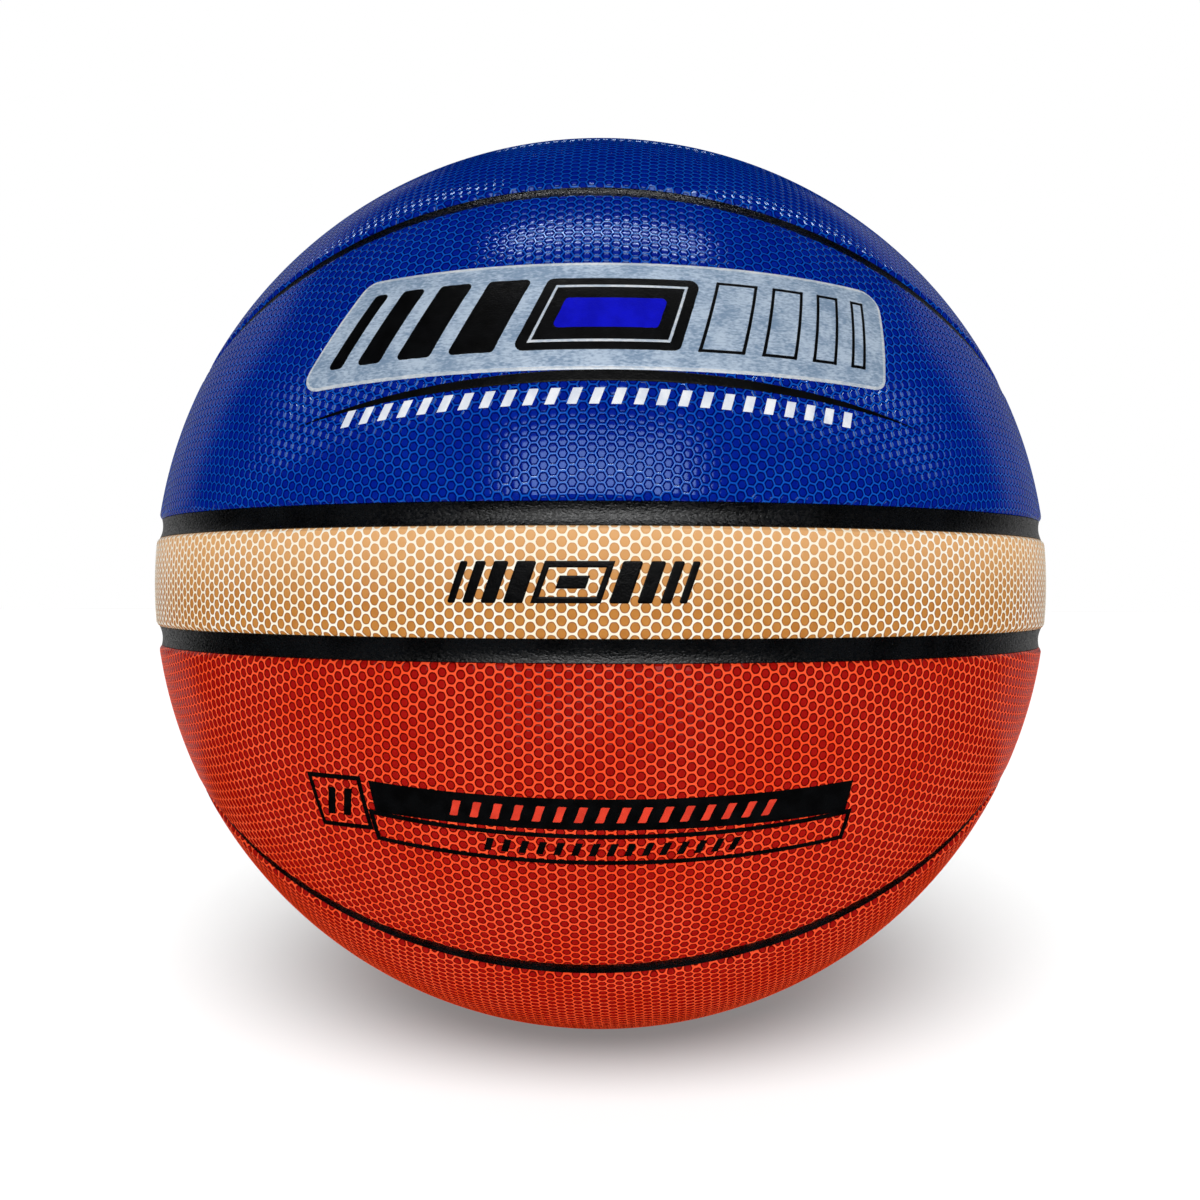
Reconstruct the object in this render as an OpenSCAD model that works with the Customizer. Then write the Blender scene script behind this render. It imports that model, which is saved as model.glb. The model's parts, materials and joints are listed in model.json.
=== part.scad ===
// Size 7 basketball of laminated construction, with its origin at the centre
// of the ball, +Z up through the top panels and the photographed face at -Y.
// From the inside out it is an air bladder, a thread winding, a rubber carcass,
// foam pads, cover panels and the channel strips that run between the panels.

/* [Ball] */
// Radius of the inflated ball over the crowns of its panels
ball_r = 121.5; // [112:0.5:124]

/* [Layers] */
// Thickness of a cover panel
cover_t = 1.4; // [1.2:0.1:2]
// Thickness of the foam pad under a cover panel
pad_t = 1.2; // [0.8:0.1:2]
// Thickness of the rubber carcass
carcass_t = 1; // [0.6:0.1:1.6]
// Thickness of the thread winding
winding_t = 0.6; // [0.4:0.1:1]
// Thickness of the bladder wall
bladder_t = 0.9; // [0.6:0.1:1.4]
// Glue line between one layer and the next
glue_gap = 0.1; // [0.05:0.05:0.2]

/* [Belt] */
// Width of the belt panels between their two channels
belt_w = 22.6; // [18:0.2:30]
// Width of the channel above and below the belt
belt_channel_w = 5.1; // [4:0.1:6]

/* [Loops] */
// Width of the channel of a loop seam
loop_channel_w = 4.4; // [3.6:0.1:5.4]
// Latitude of the upper loop seam at the middle of the front and of the back
upper_loop_latitude = 47.25; // [45:0.25:49]
// Latitude of the lower loop seam there, below the belt
lower_loop_latitude = 46; // [44:0.25:48]
// Latitude of a loop seam where it crosses the meridian at the sides
loop_side_latitude = 20.5; // [18:0.5:24]

/* [Meridian] */
// Width of the channel that parts the front from the back
meridian_channel_w = 4.4; // [3.6:0.1:5.4]

/* [Channel strips] */
// Step down from the edge of a panel to the edge of the strip beside it
strip_step = 0.1; // [0.05:0.05:0.3]
// Depth of the hollow along the middle of a strip
strip_hollow = 0.4; // [0.2:0.05:0.5]
// Clearance between a strip and the panels, pads and strips beside it
strip_gap = 0.1; // [0.05:0.05:0.2]

/* [Panel edges] */
// Radius that rounds a panel down to its channel
edge_round_r = 10; // [9.5:0.5:14]
// Width of the rounded border of a panel
edge_round_w = 4; // [3:0.25:4.25]

/* [Valve] */
// Radius of the valve stem where it passes through the layers
stem_r = 4.4; // [4:0.1:5.5]
// Depth of the valve face below the crown of the cover
valve_inset = 0.5; // [0.3:0.1:0.8]
// Radius of the valve flange inside the bladder
flange_r = 13; // [10:0.5:16]
// Thickness of the valve flange
flange_t = 1.6; // [1.2:0.1:2.4]
// Length of the valve stem from its face to its closed inner end
stem_l = 20; // [18:0.5:26]
// Radius of the plug that seals the valve
plug_r = 2.6; // [2.2:0.1:3]
// Radius of the head of the plug
plug_head_r = 3.4; // [3.1:0.1:3.7]
// Thickness of the head of the plug
plug_head_t = 1.4; // [1:0.1:2]
// Length of the plug with its head
plug_l = 15; // [13:0.5:16]
// Radius of the needle bore in the plug
needle_bore_r = 1.1; // [0.9:0.05:1.3]
// Length of the needle bore
needle_bore_l = 12; // [10:0.5:12]
// Radius of the funnel at the mouth of the needle bore
funnel_r = 1.9; // [1.5:0.1:2.1]
// Depth of the funnel
funnel_depth = 0.8; // [0.5:0.1:1]
// Clearance between the plug and the stem
plug_gap = 0.05; // [0.02:0.01:0.1]
// Clearance between the stem and the layers that it passes through
stem_gap = 0.1; // [0.05:0.05:0.3]

/* [Hidden] */
$fn = 180;

// Overrun of every cut past the surface that it opens
overrun = 3;

// Lift of the edge rounding, so that it meets the crown at a clear angle
round_lift = 0.1;

// Radii of the nested layers
cover_in_r = ball_r - cover_t;
pad_out_r = cover_in_r - glue_gap;
pad_in_r = pad_out_r - pad_t;
carcass_r = pad_in_r - glue_gap;
carcass_in_r = carcass_r - carcass_t;
winding_r = carcass_in_r - glue_gap;
winding_in_r = winding_r - winding_t;
bladder_r = winding_in_r - glue_gap;
bladder_in_r = bladder_r - bladder_t;
outside_r = ball_r + overrun;

// Belt channels, as the height and the latitude of their centre lines
belt_seam_z = (belt_w + belt_channel_w) / 2;
belt_latitude = asin(belt_seam_z / ball_r);

// Half widths of the belt and loop channels at the foot of the strips, as angles
strip_foot_r = carcass_r + glue_gap;
belt_half_angle = asin(belt_channel_w / 2 / strip_foot_r);
loop_half_angle = asin(loop_channel_w / 2 / strip_foot_r);

// A loop seam is where the sphere meets a wide cylinder that lies along Y, here
// for a sphere of radius 1. It is worked out as points, each with its direction
// from the ball's centre and the direction across the seam. Every piece is made
// as an upper one, and at_bottom() gives the lower loop's latitude to a lower one.
$loop_latitude = upper_loop_latitude;
loop_steps = 96;
region_steps = 48;
loop_step = 360 / loop_steps;
side_x = cos(loop_side_latitude);
side_z = sin(loop_side_latitude);

// How far a stretch of a loop reaches past the meridian, as an angle of its run
run_overrun = 2 * loop_step;

// Shares of a border and of half a strip at which the facets of a loop meet
border_shares = [0, 0.3, 0.65, 1];
hollow_shares = [1, 0.5, 0, -0.5, -1];

// Places along the valve's axis
valve_face_y = ball_r - valve_inset;
stem_end_y = valve_face_y - stem_l;
plug_end_y = valve_face_y - plug_l;
flange_y = bladder_in_r - glue_gap - flange_t;

blue = "#1638b4";
cream = "#e8c188";
red = "#c6301a";
black = "#16181b";
foam = "#3a3d42";

// Hollow sphere
module shell(outer_r, inner_r) {
    difference() {
        sphere(r = outer_r);
        sphere(r = inner_r);
    }
}

// Direction from the ball's centre to a place on a loop seam, as an upper one.
// The run starts at +X and passes the front at 90 degrees.
function loop_direction(run) =
    let (
        front_z = sin($loop_latitude),
        bow_z = (pow(front_z, 2) - 1) / (2 * (front_z - side_z)),
        bow_r = front_z - bow_z,
        x = side_x * cos(run),
        z = bow_z + sqrt(pow(bow_r, 2) - pow(x, 2)),
        y = sqrt(max(0, 1 - pow(x, 2) - pow(z, 2)))
    )
    [x, sin(run) > 0 ? -y : y, z];

// Direction across the seam, away from the top of the ball
function loop_across(run) =
    let (
        along = loop_direction(run + loop_step / 2) - loop_direction(run - loop_step / 2),
        across = cross(loop_direction(run), along)
    )
    across / norm(across);

// Height of a panel's rounded border at a distance from the channel wall
function border_r(distance) =
    ball_r + round_lift - edge_round_r
    + sqrt(pow(edge_round_r, 2) - pow(edge_round_w - distance, 2));

// Cross-section of a straight-walled slot. A cross-section has the seam's
// middle at x = 0 and the distance from the ball's centre along y.
module slot_section(channel_w) {
    translate([-channel_w / 2, carcass_in_r])
        square([channel_w, outside_r - carcass_in_r]);
}

// Cross-section cut out of the covers, with the rounded borders of the panels
module channel_section(channel_w) {
    round_x = channel_w / 2 + edge_round_w;
    round_y = ball_r + round_lift - edge_round_r;
    slot_section(channel_w);
    for (side = [0, 1])
        mirror([side, 0])
            difference() {
                translate([0, round_y])
                    square([round_x, outside_r - round_y]);
                translate([round_x, round_y])
                    circle(r = edge_round_r);
            }
}

// Cross-section of a channel strip, with its hollow floor
module strip_section(channel_w) {
    half_w = channel_w / 2 - strip_gap;
    edge_r = border_r(0) - strip_step;
    hollow_r = (pow(half_w, 2) + pow(strip_hollow, 2)) / (2 * strip_hollow);
    difference() {
        translate([-half_w, carcass_in_r])
            square([2 * half_w, edge_r - carcass_in_r]);
        circle(r = strip_foot_r);
        translate([0, edge_r - strip_hollow + hollow_r])
            circle(r = hollow_r);
    }
}

// Turns a cross-section round the upper belt seam
module round_belt() {
    rotate_extrude()
        rotate(belt_latitude - 90)
            children();
}

// Turns a cross-section round the meridian seam
module round_meridian() {
    rotate([90, 0, 0])
        rotate_extrude()
            rotate(-90)
                children();
}

// Outline of a straight-walled slot for a loop, as points [across, distance]
function slot_outline() = [
    [-loop_channel_w / 2, carcass_in_r],
    [loop_channel_w / 2, carcass_in_r],
    [loop_channel_w / 2, outside_r],
    [-loop_channel_w / 2, outside_r]
];

// Outline cut out of the covers along a loop
function channel_outline() =
    let (
        half_w = loop_channel_w / 2,
        border = [
            for (share = border_shares)
                [half_w + edge_round_w * share, border_r(edge_round_w * share)]
        ],
        last = len(border) - 1
    )
    [
        [-half_w, carcass_in_r],
        [half_w, carcass_in_r],
        each border,
        [half_w + edge_round_w, outside_r],
        [-half_w - edge_round_w, outside_r],
        for (i = [last:-1:0]) [-border[i][0], border[i][1]]
    ];

// Outline of a loop's channel strip, with its hollow floor
function strip_outline() =
    let (
        half_w = loop_channel_w / 2 - strip_gap,
        floor_r = border_r(0) - strip_step - strip_hollow
    )
    [
        [-half_w, strip_foot_r],
        [half_w, strip_foot_r],
        for (share = hollow_shares)
            [half_w * share, floor_r + strip_hollow * pow(share, 2)]
    ];

// Sweeps an outline along a loop seam between two places of its run
module along_loop(outline, low, high) {
    closed = high - low == 360;
    steps = ceil((high - low) / loop_step);
    rings = closed ? steps : steps + 1;
    size = len(outline);
    points = [
        for (i = [0:rings - 1])
            let (run = low + (high - low) * i / steps)
            for (p = outline)
                loop_across(run) * p[0] + loop_direction(run) * p[1]
    ];
    sides = [
        for (i = [0:steps - 1])
            for (j = [0:size - 1])
                let (
                    k = (j + 1) % size,
                    here = i * size,
                    next = ((i + 1) % rings) * size
                )
                each [
                    [here + j, next + j, here + k],
                    [here + k, next + j, next + k]
                ]
    ];
    low_end = [for (j = [0:size - 1]) j];
    high_end = [for (j = [size - 1:-1:0]) (rings - 1) * size + j];
    faces = closed ? sides : concat(sides, [low_end, high_end]);
    polyhedron(points = points, faces = faces, convexity = 10);
}

// Everything inside a loop seam, as a pyramid from the ball's centre
module inside_loop() {
    far_r = 2 * outside_r;
    points = concat(
        [[0, 0, 0], [0, 0, far_r]],
        [for (i = [0:region_steps - 1]) far_r * loop_direction(360 * i / region_steps)]
    );
    faces = [
        for (i = [0:region_steps - 1])
            let (
                here = 2 + i,
                next = 2 + (i + 1) % region_steps
            )
            each [[0, next, here], [1, here, next]]
    ];
    polyhedron(points = points, faces = faces, convexity = 4);
}

// Part of the front half between two heights, as far back as one plane
module front_slab(low_z, high_z, back_y) {
    translate([-outside_r, -outside_r, low_z])
        cube([2 * outside_r, outside_r + back_y, high_z - low_z]);
}

module top_region(back_y) {
    intersection() {
        front_slab(0, outside_r, back_y);
        inside_loop();
    }
}

module upper_region(back_y) {
    difference() {
        front_slab(belt_seam_z, outside_r, back_y);
        inside_loop();
    }
}

module belt_region(back_y) {
    front_slab(-belt_seam_z, belt_seam_z, back_y);
}

// Pad layer inside a region, before its slots are cut
module pad_layer() {
    intersection() {
        shell(pad_out_r, pad_in_r);
        children();
    }
}

// Cover layer inside a region, with the border along the meridian rounded
module cover_layer() {
    difference() {
        intersection() {
            shell(ball_r, cover_in_r);
            children();
        }
        round_meridian()
            channel_section(meridian_channel_w);
    }
}

module loop_slot() {
    along_loop(slot_outline(), -run_overrun, 180 + run_overrun);
}

module loop_border() {
    along_loop(channel_outline(), -run_overrun, 180 + run_overrun);
}

module top_pad() {
    color(foam)
        difference() {
            pad_layer()
                top_region(-meridian_channel_w / 2);
            loop_slot();
        }
}

module upper_pad() {
    color(foam)
        difference() {
            pad_layer()
                upper_region(-meridian_channel_w / 2);
            round_belt()
                slot_section(belt_channel_w);
            loop_slot();
        }
}

module belt_pad() {
    color(foam)
        difference() {
            pad_layer()
                belt_region(-meridian_channel_w / 2);
            round_belt()
                slot_section(belt_channel_w);
            mirror([0, 0, 1])
                round_belt()
                    slot_section(belt_channel_w);
        }
}

module top_cover() {
    difference() {
        cover_layer()
            top_region(0);
        loop_border();
    }
}

module upper_cover() {
    difference() {
        cover_layer()
            upper_region(0);
        round_belt()
            channel_section(belt_channel_w);
        loop_border();
    }
}

module belt_cover() {
    difference() {
        cover_layer()
            belt_region(0);
        round_belt()
            channel_section(belt_channel_w);
        mirror([0, 0, 1])
            round_belt()
                channel_section(belt_channel_w);
    }
}

// Places a front piece in the back half
module at_back() {
    rotate([0, 0, 180])
        children();
}

// Places an upper piece in the lower half, with the lower loop's latitude
module at_bottom() {
    $loop_latitude = lower_loop_latitude;
    mirror([0, 0, 1])
        children();
}

// Cylinder on the valve's axis between two places
module valve_cylinder(radius, from_y, to_y) {
    translate([0, from_y, 0])
        rotate([-90, 0, 0])
            cylinder(r = radius, h = to_y - from_y);
}

// Hole through the layers for the valve stem
module stem_hole() {
    valve_cylinder(stem_r + stem_gap, bladder_in_r - overrun, outside_r);
}

module bladder() {
    color("#1d1f22")
        difference() {
            shell(bladder_r, bladder_in_r);
            stem_hole();
        }
}

module winding() {
    color("#d8d3c4")
        difference() {
            shell(winding_r, winding_in_r);
            stem_hole();
        }
}

module carcass() {
    color("#26282c")
        difference() {
            shell(carcass_r, carcass_in_r);
            stem_hole();
        }
}

module valve_stem() {
    color(black)
        difference() {
            union() {
                intersection() {
                    valve_cylinder(flange_r, flange_y, outside_r);
                    sphere(r = bladder_in_r - glue_gap);
                }
                intersection() {
                    valve_cylinder(stem_r, stem_end_y, outside_r);
                    sphere(r = valve_face_y);
                }
            }
            valve_cylinder(plug_r + plug_gap, plug_end_y - plug_gap, outside_r);
            valve_cylinder(
                plug_head_r + plug_gap,
                valve_face_y - plug_head_t - plug_gap,
                outside_r
            );
        }
}

module valve_plug() {
    color("#22252a")
        difference() {
            intersection() {
                union() {
                    valve_cylinder(plug_r, plug_end_y, outside_r);
                    valve_cylinder(plug_head_r, valve_face_y - plug_head_t, outside_r);
                }
                sphere(r = valve_face_y);
            }
            valve_cylinder(needle_bore_r, valve_face_y - needle_bore_l, outside_r);
            translate([0, valve_face_y - funnel_depth, 0])
                rotate([-90, 0, 0])
                    cylinder(r1 = needle_bore_r, r2 = funnel_r, h = funnel_depth);
        }
}

module belt_channel_upper() {
    color(black)
        round_belt()
            strip_section(belt_channel_w);
}

module belt_channel_lower() {
    at_bottom()
        belt_channel_upper();
}

module loop_channel_upper() {
    color(black)
        along_loop(strip_outline(), 0, 360);
}

module loop_channel_lower() {
    at_bottom()
        loop_channel_upper();
}

// Stretch of the meridian strip between two angles above +X
module meridian_run(low, high) {
    rotate([90, 0, 0])
        rotate([0, 0, low])
            rotate_extrude(angle = high - low)
                rotate(-90)
                    strip_section(meridian_channel_w);
}

// The meridian strip is in eight stretches, which end at the strips they meet
module meridian_channel() {
    color(black) {
        for (side = [0, 1])
            mirror([side, 0, 0]) {
                meridian_run(belt_half_angle - belt_latitude, belt_latitude - belt_half_angle);
                for (half = [0, 1])
                    mirror([0, 0, half])
                        meridian_run(
                            belt_latitude + belt_half_angle,
                            loop_side_latitude - loop_half_angle
                        );
            }
        for (half = [0, 1])
            mirror([0, 0, half])
                meridian_run(
                    loop_side_latitude + loop_half_angle,
                    180 - loop_side_latitude - loop_half_angle
                );
    }
}

module top_front_pad() {
    top_pad();
}

module upper_front_pad() {
    upper_pad();
}

module belt_front_pad() {
    belt_pad();
}

module lower_front_pad() {
    at_bottom()
        upper_pad();
}

module bottom_front_pad() {
    at_bottom()
        top_pad();
}

module top_back_pad() {
    at_back()
        top_pad();
}

module upper_back_pad() {
    at_back()
        upper_pad();
}

module belt_back_pad() {
    difference() {
        at_back()
            belt_pad();
        stem_hole();
    }
}

module lower_back_pad() {
    at_back()
        at_bottom()
            upper_pad();
}

module bottom_back_pad() {
    at_back()
        at_bottom()
            top_pad();
}

module top_front_cover() {
    color(blue)
        top_cover();
}

module upper_front_cover() {
    color(blue)
        upper_cover();
}

module belt_front_cover() {
    color(cream)
        belt_cover();
}

module lower_front_cover() {
    color(red)
        at_bottom()
            upper_cover();
}

module bottom_front_cover() {
    color(red)
        at_bottom()
            top_cover();
}

module top_back_cover() {
    color(blue)
        at_back()
            top_cover();
}

module upper_back_cover() {
    color(blue)
        at_back()
            upper_cover();
}

module belt_back_cover() {
    color(cream)
        difference() {
            at_back()
                belt_cover();
            stem_hole();
        }
}

module lower_back_cover() {
    color(red)
        at_back()
            at_bottom()
                upper_cover();
}

module bottom_back_cover() {
    color(red)
        at_back()
            at_bottom()
                top_cover();
}

bladder();
valve_stem();
valve_plug();
winding();
carcass();
belt_channel_upper();
belt_channel_lower();
loop_channel_upper();
loop_channel_lower();
meridian_channel();
top_front_pad();
upper_front_pad();
belt_front_pad();
lower_front_pad();
bottom_front_pad();
top_back_pad();
upper_back_pad();
belt_back_pad();
lower_back_pad();
bottom_back_pad();
top_front_cover();
upper_front_cover();
belt_front_cover();
lower_front_cover();
bottom_front_cover();
top_back_cover();
upper_back_cover();
belt_back_cover();
lower_back_cover();
bottom_back_cover();
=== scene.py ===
import json
import math

import bpy
import numpy as np
from mathutils import Matrix, Vector
from mathutils.geometry import delaunay_2d_cdt


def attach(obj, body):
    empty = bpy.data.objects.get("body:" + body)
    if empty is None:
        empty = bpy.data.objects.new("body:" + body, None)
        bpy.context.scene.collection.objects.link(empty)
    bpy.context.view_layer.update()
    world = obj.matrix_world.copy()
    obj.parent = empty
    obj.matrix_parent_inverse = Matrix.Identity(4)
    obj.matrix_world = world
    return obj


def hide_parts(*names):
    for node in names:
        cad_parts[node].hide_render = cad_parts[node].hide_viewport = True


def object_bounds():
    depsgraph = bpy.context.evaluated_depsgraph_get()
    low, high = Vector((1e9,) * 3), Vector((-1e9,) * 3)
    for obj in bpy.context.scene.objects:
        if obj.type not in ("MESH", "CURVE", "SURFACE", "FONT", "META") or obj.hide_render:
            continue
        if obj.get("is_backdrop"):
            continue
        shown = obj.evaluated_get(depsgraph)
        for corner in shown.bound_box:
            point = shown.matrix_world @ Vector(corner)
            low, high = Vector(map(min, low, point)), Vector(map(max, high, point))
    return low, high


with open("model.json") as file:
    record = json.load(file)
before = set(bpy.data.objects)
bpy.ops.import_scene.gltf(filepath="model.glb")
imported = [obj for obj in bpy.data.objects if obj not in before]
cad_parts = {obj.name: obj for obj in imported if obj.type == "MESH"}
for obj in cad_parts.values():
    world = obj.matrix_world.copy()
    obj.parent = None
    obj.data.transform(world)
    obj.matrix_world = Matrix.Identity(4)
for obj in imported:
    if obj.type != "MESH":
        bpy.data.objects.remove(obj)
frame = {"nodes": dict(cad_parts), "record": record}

cad_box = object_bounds()
scene = bpy.context.scene

# Units: shapes are worked out in millimetres and degrees
MM = 0.001
SEED = 7

# Ball
BALL_R = 121.5
TOP_R = min(abs(value) for corner in cad_box for value in corner) / MM
COVER_IN_R = 120.15
STRIP_FOOT_R = 118.85

# Channels
BELT_W = 22.6
BELT_CHANNEL_W = 5.1
LOOP_CHANNEL_W = 4.4
MERIDIAN_CHANNEL_W = 4.4
UPPER_LOOP_LATITUDE = 47.25
LOWER_LOOP_LATITUDE = 46
LOOP_SIDE_LATITUDE = 20.5
STRIP_GAP = 0.1
STRIP_STEP = 0.1
STRIP_HOLLOW = 0.4
STRIP_ROUND = 0.15
STRIP_TOP_SHARE = 0.96
STRIP_TOP_POINTS = 15
STRIP_SHARP_ANGLE = 50
SEAM_STEP = 1.5

# Panel edges: an arc that starts at ROUND_W from the edge, lifted a little and cut off at the panel's top
ROUND_R = 1.9
ROUND_W = 1.55
ROUND_LIFT = 0.07

# Pebbles: a raised net round hollow cells, each with a button. Drops are shares of a cover's depth
COLUMN = 2.09
ROW = 2.62
SHOULDER_DROP = 0.02
MOAT_DROP = 0.3
RIM_DROP = 0.13
BUTTON_DROP = 0.04
RING_SHARES = (0.57, 0.68, 0.89)
PEBBLE_SHARP_ANGLE = 15
CELL_MIDDLE = 0.5
WALL_TONE = 0.5
BLUE_DEPTH = 0.6
CREAM_DEPTH = 0.35
RED_DEPTH = 0.45
BORDER_FADE_W = 1.4
BORDER_RELIEF = 0.45

# A panel has up to this many borders. A distance listed after them is the valve hole's
BORDERS = 3

# Charts: how much each cone is opened, where the caps' chart has its middle, and how far they reach
BLUE_SPREAD = 0.57
RED_SPREAD = 0.44
CAP_MIDDLE = 67
CAP_REACH = 190
BAND_REACH = 220
BELT_REACH = 195
APEX_CLEARANCE = 1

# A cover's inner face
INNER_STEP = 8
RIM_SLACK = 0.05

# The least values that stand in for zero
LEAST_DISTANCE = 1e-6
LEAST_LENGTH = 1e-9
LEAST_SLOPE = 0.01

# Prints
FILM_STEP = 2
FILM_EDGE_W = 0.35
FILM_EDGE_DROP = 0.09
FILM_SHARP_ANGLE = 6
FILM_FOOT_DROP = 0.3
FILM_LIFT = 0.04
PRESS_DEPTH = 0.12
PRESS_MARGIN = 0.35
PRESS_RELIEF = 0.3

# Valve
VALVE_HOLE_R = 4.5
VALVE_HOLE_ROUND_W = 1.6
VALVE_HOLE_ROUND_DROP = 0.25

belt_seam_z = BELT_W / 2 + BELT_CHANNEL_W / 2
BELT_LATITUDE = math.asin(belt_seam_z / BALL_R)
SIDE_Z = math.sin(math.radians(LOOP_SIDE_LATITUDE))
SIDE_X = math.cos(math.radians(LOOP_SIDE_LATITUDE))


# Places on the ball, as unit vectors with -Y at the front
def direction(longitude, latitude):
    flat = np.cos(latitude)
    return np.stack([flat * np.sin(longitude), -flat * np.cos(longitude), np.sin(latitude)], -1)


def latitude_of(place):
    return np.arcsin(np.clip(place[:, 2], -1, 1))


def longitude_of(place):
    return np.arctan2(place[:, 0], -place[:, 1])


def bow(front_latitude):
    """Height and radius of the wide cylinder that cuts a loop seam out of a ball of radius 1."""
    front_z = math.sin(math.radians(front_latitude))
    height = (front_z ** 2 - 1) / (2 * (front_z - SIDE_Z))
    return height, front_z - height


# Distances in millimetres from the seams, measured on the ball
def above_loop(place, front_latitude):
    height, radius = bow(front_latitude)
    x, z = place[:, 0], place[:, 2] - height
    reach = np.hypot(x, z)
    outward = (x * place[:, 0] + z * place[:, 2]) / reach
    return BALL_R * (reach - radius) / np.sqrt(np.maximum(1 - outward ** 2, LEAST_SLOPE))


def above_belt(place):
    return BALL_R * (latitude_of(place) - BELT_LATITUDE)


def before_meridian(place):
    return BALL_R * np.arcsin(np.clip(-place[:, 1], -1, 1)) - MERIDIAN_CHANNEL_W / 2


def top_edges(front_latitude):
    def edges(place):
        return [above_loop(place, front_latitude) - LOOP_CHANNEL_W / 2, before_meridian(place)]

    return edges


def band_edges(front_latitude):
    def edges(place):
        return [
            -above_loop(place, front_latitude) - LOOP_CHANNEL_W / 2,
            above_belt(place) - BELT_CHANNEL_W / 2,
            before_meridian(place),
        ]

    return edges


def belt_edges(place):
    low = place * (1, 1, -1)
    return [
        -above_belt(place) - BELT_CHANNEL_W / 2,
        -above_belt(low) - BELT_CHANNEL_W / 2,
        before_meridian(place),
    ]


# Charts: how each flat cut panel lies on the ball
def belt_chart(points):
    return direction(points[:, 0] / BALL_R, points[:, 1] / BALL_R)


def cone_chart(spread):
    middle = math.asin(spread)
    apex = BALL_R / math.tan(middle)
    opening = math.tan(math.pi / 4 + middle / 2)

    def chart(points):
        u, v = points[:, 0], apex - points[:, 1]
        reach = np.maximum(np.hypot(u, v), APEX_CLEARANCE)
        latitude = 2 * np.arctan(opening * (apex / reach) ** (1 / spread)) - math.pi / 2
        return direction(np.arctan2(u, v) / spread, latitude)

    return chart


def cap_chart(middle):
    tilt = math.radians(middle)
    forward = np.array([0, -math.cos(tilt), math.sin(tilt)])
    upward = np.array([0, math.sin(tilt), math.cos(tilt)])
    sideways = np.array([1, 0, 0])

    def chart(points):
        turn = points[:, :1] / BALL_R
        rise = 2 * np.arctan(np.exp(points[:, 1:2] / BALL_R)) - math.pi / 2
        ring = np.cos(turn) * forward + np.sin(turn) * sideways
        return np.cos(rise) * ring + np.sin(rise) * upward

    return chart


class Patch:
    """Triangles in a chart. Points have a relief, corners a place in their cell, triangles a tone."""

    def __init__(self, points, relief, triangles, local, tone):
        self.points, self.relief, self.triangles = points, relief, triangles
        self.local, self.tone = local, tone

    def compact(self):
        """Drops the points that no triangle has."""
        used, where = np.unique(self.triangles, return_inverse=True)
        self.triangles = where.reshape(-1, 3)
        self.points, self.relief = self.points[used], self.relief[used]

    def cut(self, value, both=False):
        """Cuts the patch where value is zero, and keeps the positive side or both sides."""
        value = np.where(np.abs(value) < LEAST_DISTANCE, LEAST_DISTANCE, value)
        inside = value[self.triangles] > 0
        count = inside.sum(1)
        whole = (count == 3) | (both & (count == 0))
        mixed = (count == 1) | (count == 2)
        single = count[mixed] == 1
        corners, local, tone = self.triangles[mixed], self.local[mixed], self.tone[mixed]
        odd = np.where(single, inside[mixed].argmax(1), (~inside[mixed]).argmax(1))
        roll = (odd[:, None] + np.arange(3)) % 3
        corners = np.take_along_axis(corners, roll, 1)
        local = np.take_along_axis(local, roll[:, :, None], 1)
        total = len(self.points)
        ends = np.concatenate([corners[:, [0, 1]], corners[:, [0, 2]]])
        keys, where = np.unique(ends.min(1) * total + ends.max(1), return_inverse=True)
        low, high = keys // total, keys % total
        share = (value[low] / (value[low] - value[high]))[:, None]
        points = self.points[low] + share * (self.points[high] - self.points[low])
        relief = self.relief[low] + share[:, 0] * (self.relief[high] - self.relief[low])
        first, second = total + where[:len(corners)], total + where[len(corners):]
        along = (value[ends[:, 0]] / (value[ends[:, 0]] - value[ends[:, 1]]))[:, None]
        near = local[:, 0] + along[:len(corners)] * (local[:, 1] - local[:, 0])
        far = local[:, 0] + along[len(corners):] * (local[:, 2] - local[:, 0])
        tip = np.stack([corners[:, 0], first, second], 1)
        tip_local = np.stack([local[:, 0], near, far], 1)
        foot_a = np.stack([first, corners[:, 1], corners[:, 2]], 1)
        foot_a_local = np.stack([near, local[:, 1], local[:, 2]], 1)
        foot_b = np.stack([first, corners[:, 2], second], 1)
        foot_b_local = np.stack([near, local[:, 2], far], 1)
        keep_tip, keep_foot = single | both, ~single | both

        def kept(old, tips, feet_a, feet_b):
            return np.concatenate([old[whole], tips[keep_tip], feet_a[keep_foot], feet_b[keep_foot]])

        self.triangles = kept(self.triangles, tip, foot_a, foot_b)
        self.local = kept(self.local, tip_local, foot_a_local, foot_b_local)
        self.tone = kept(self.tone, tone, tone, tone)
        self.points = np.concatenate([self.points, points])
        self.relief = np.concatenate([self.relief, relief])
        self.compact()


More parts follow.
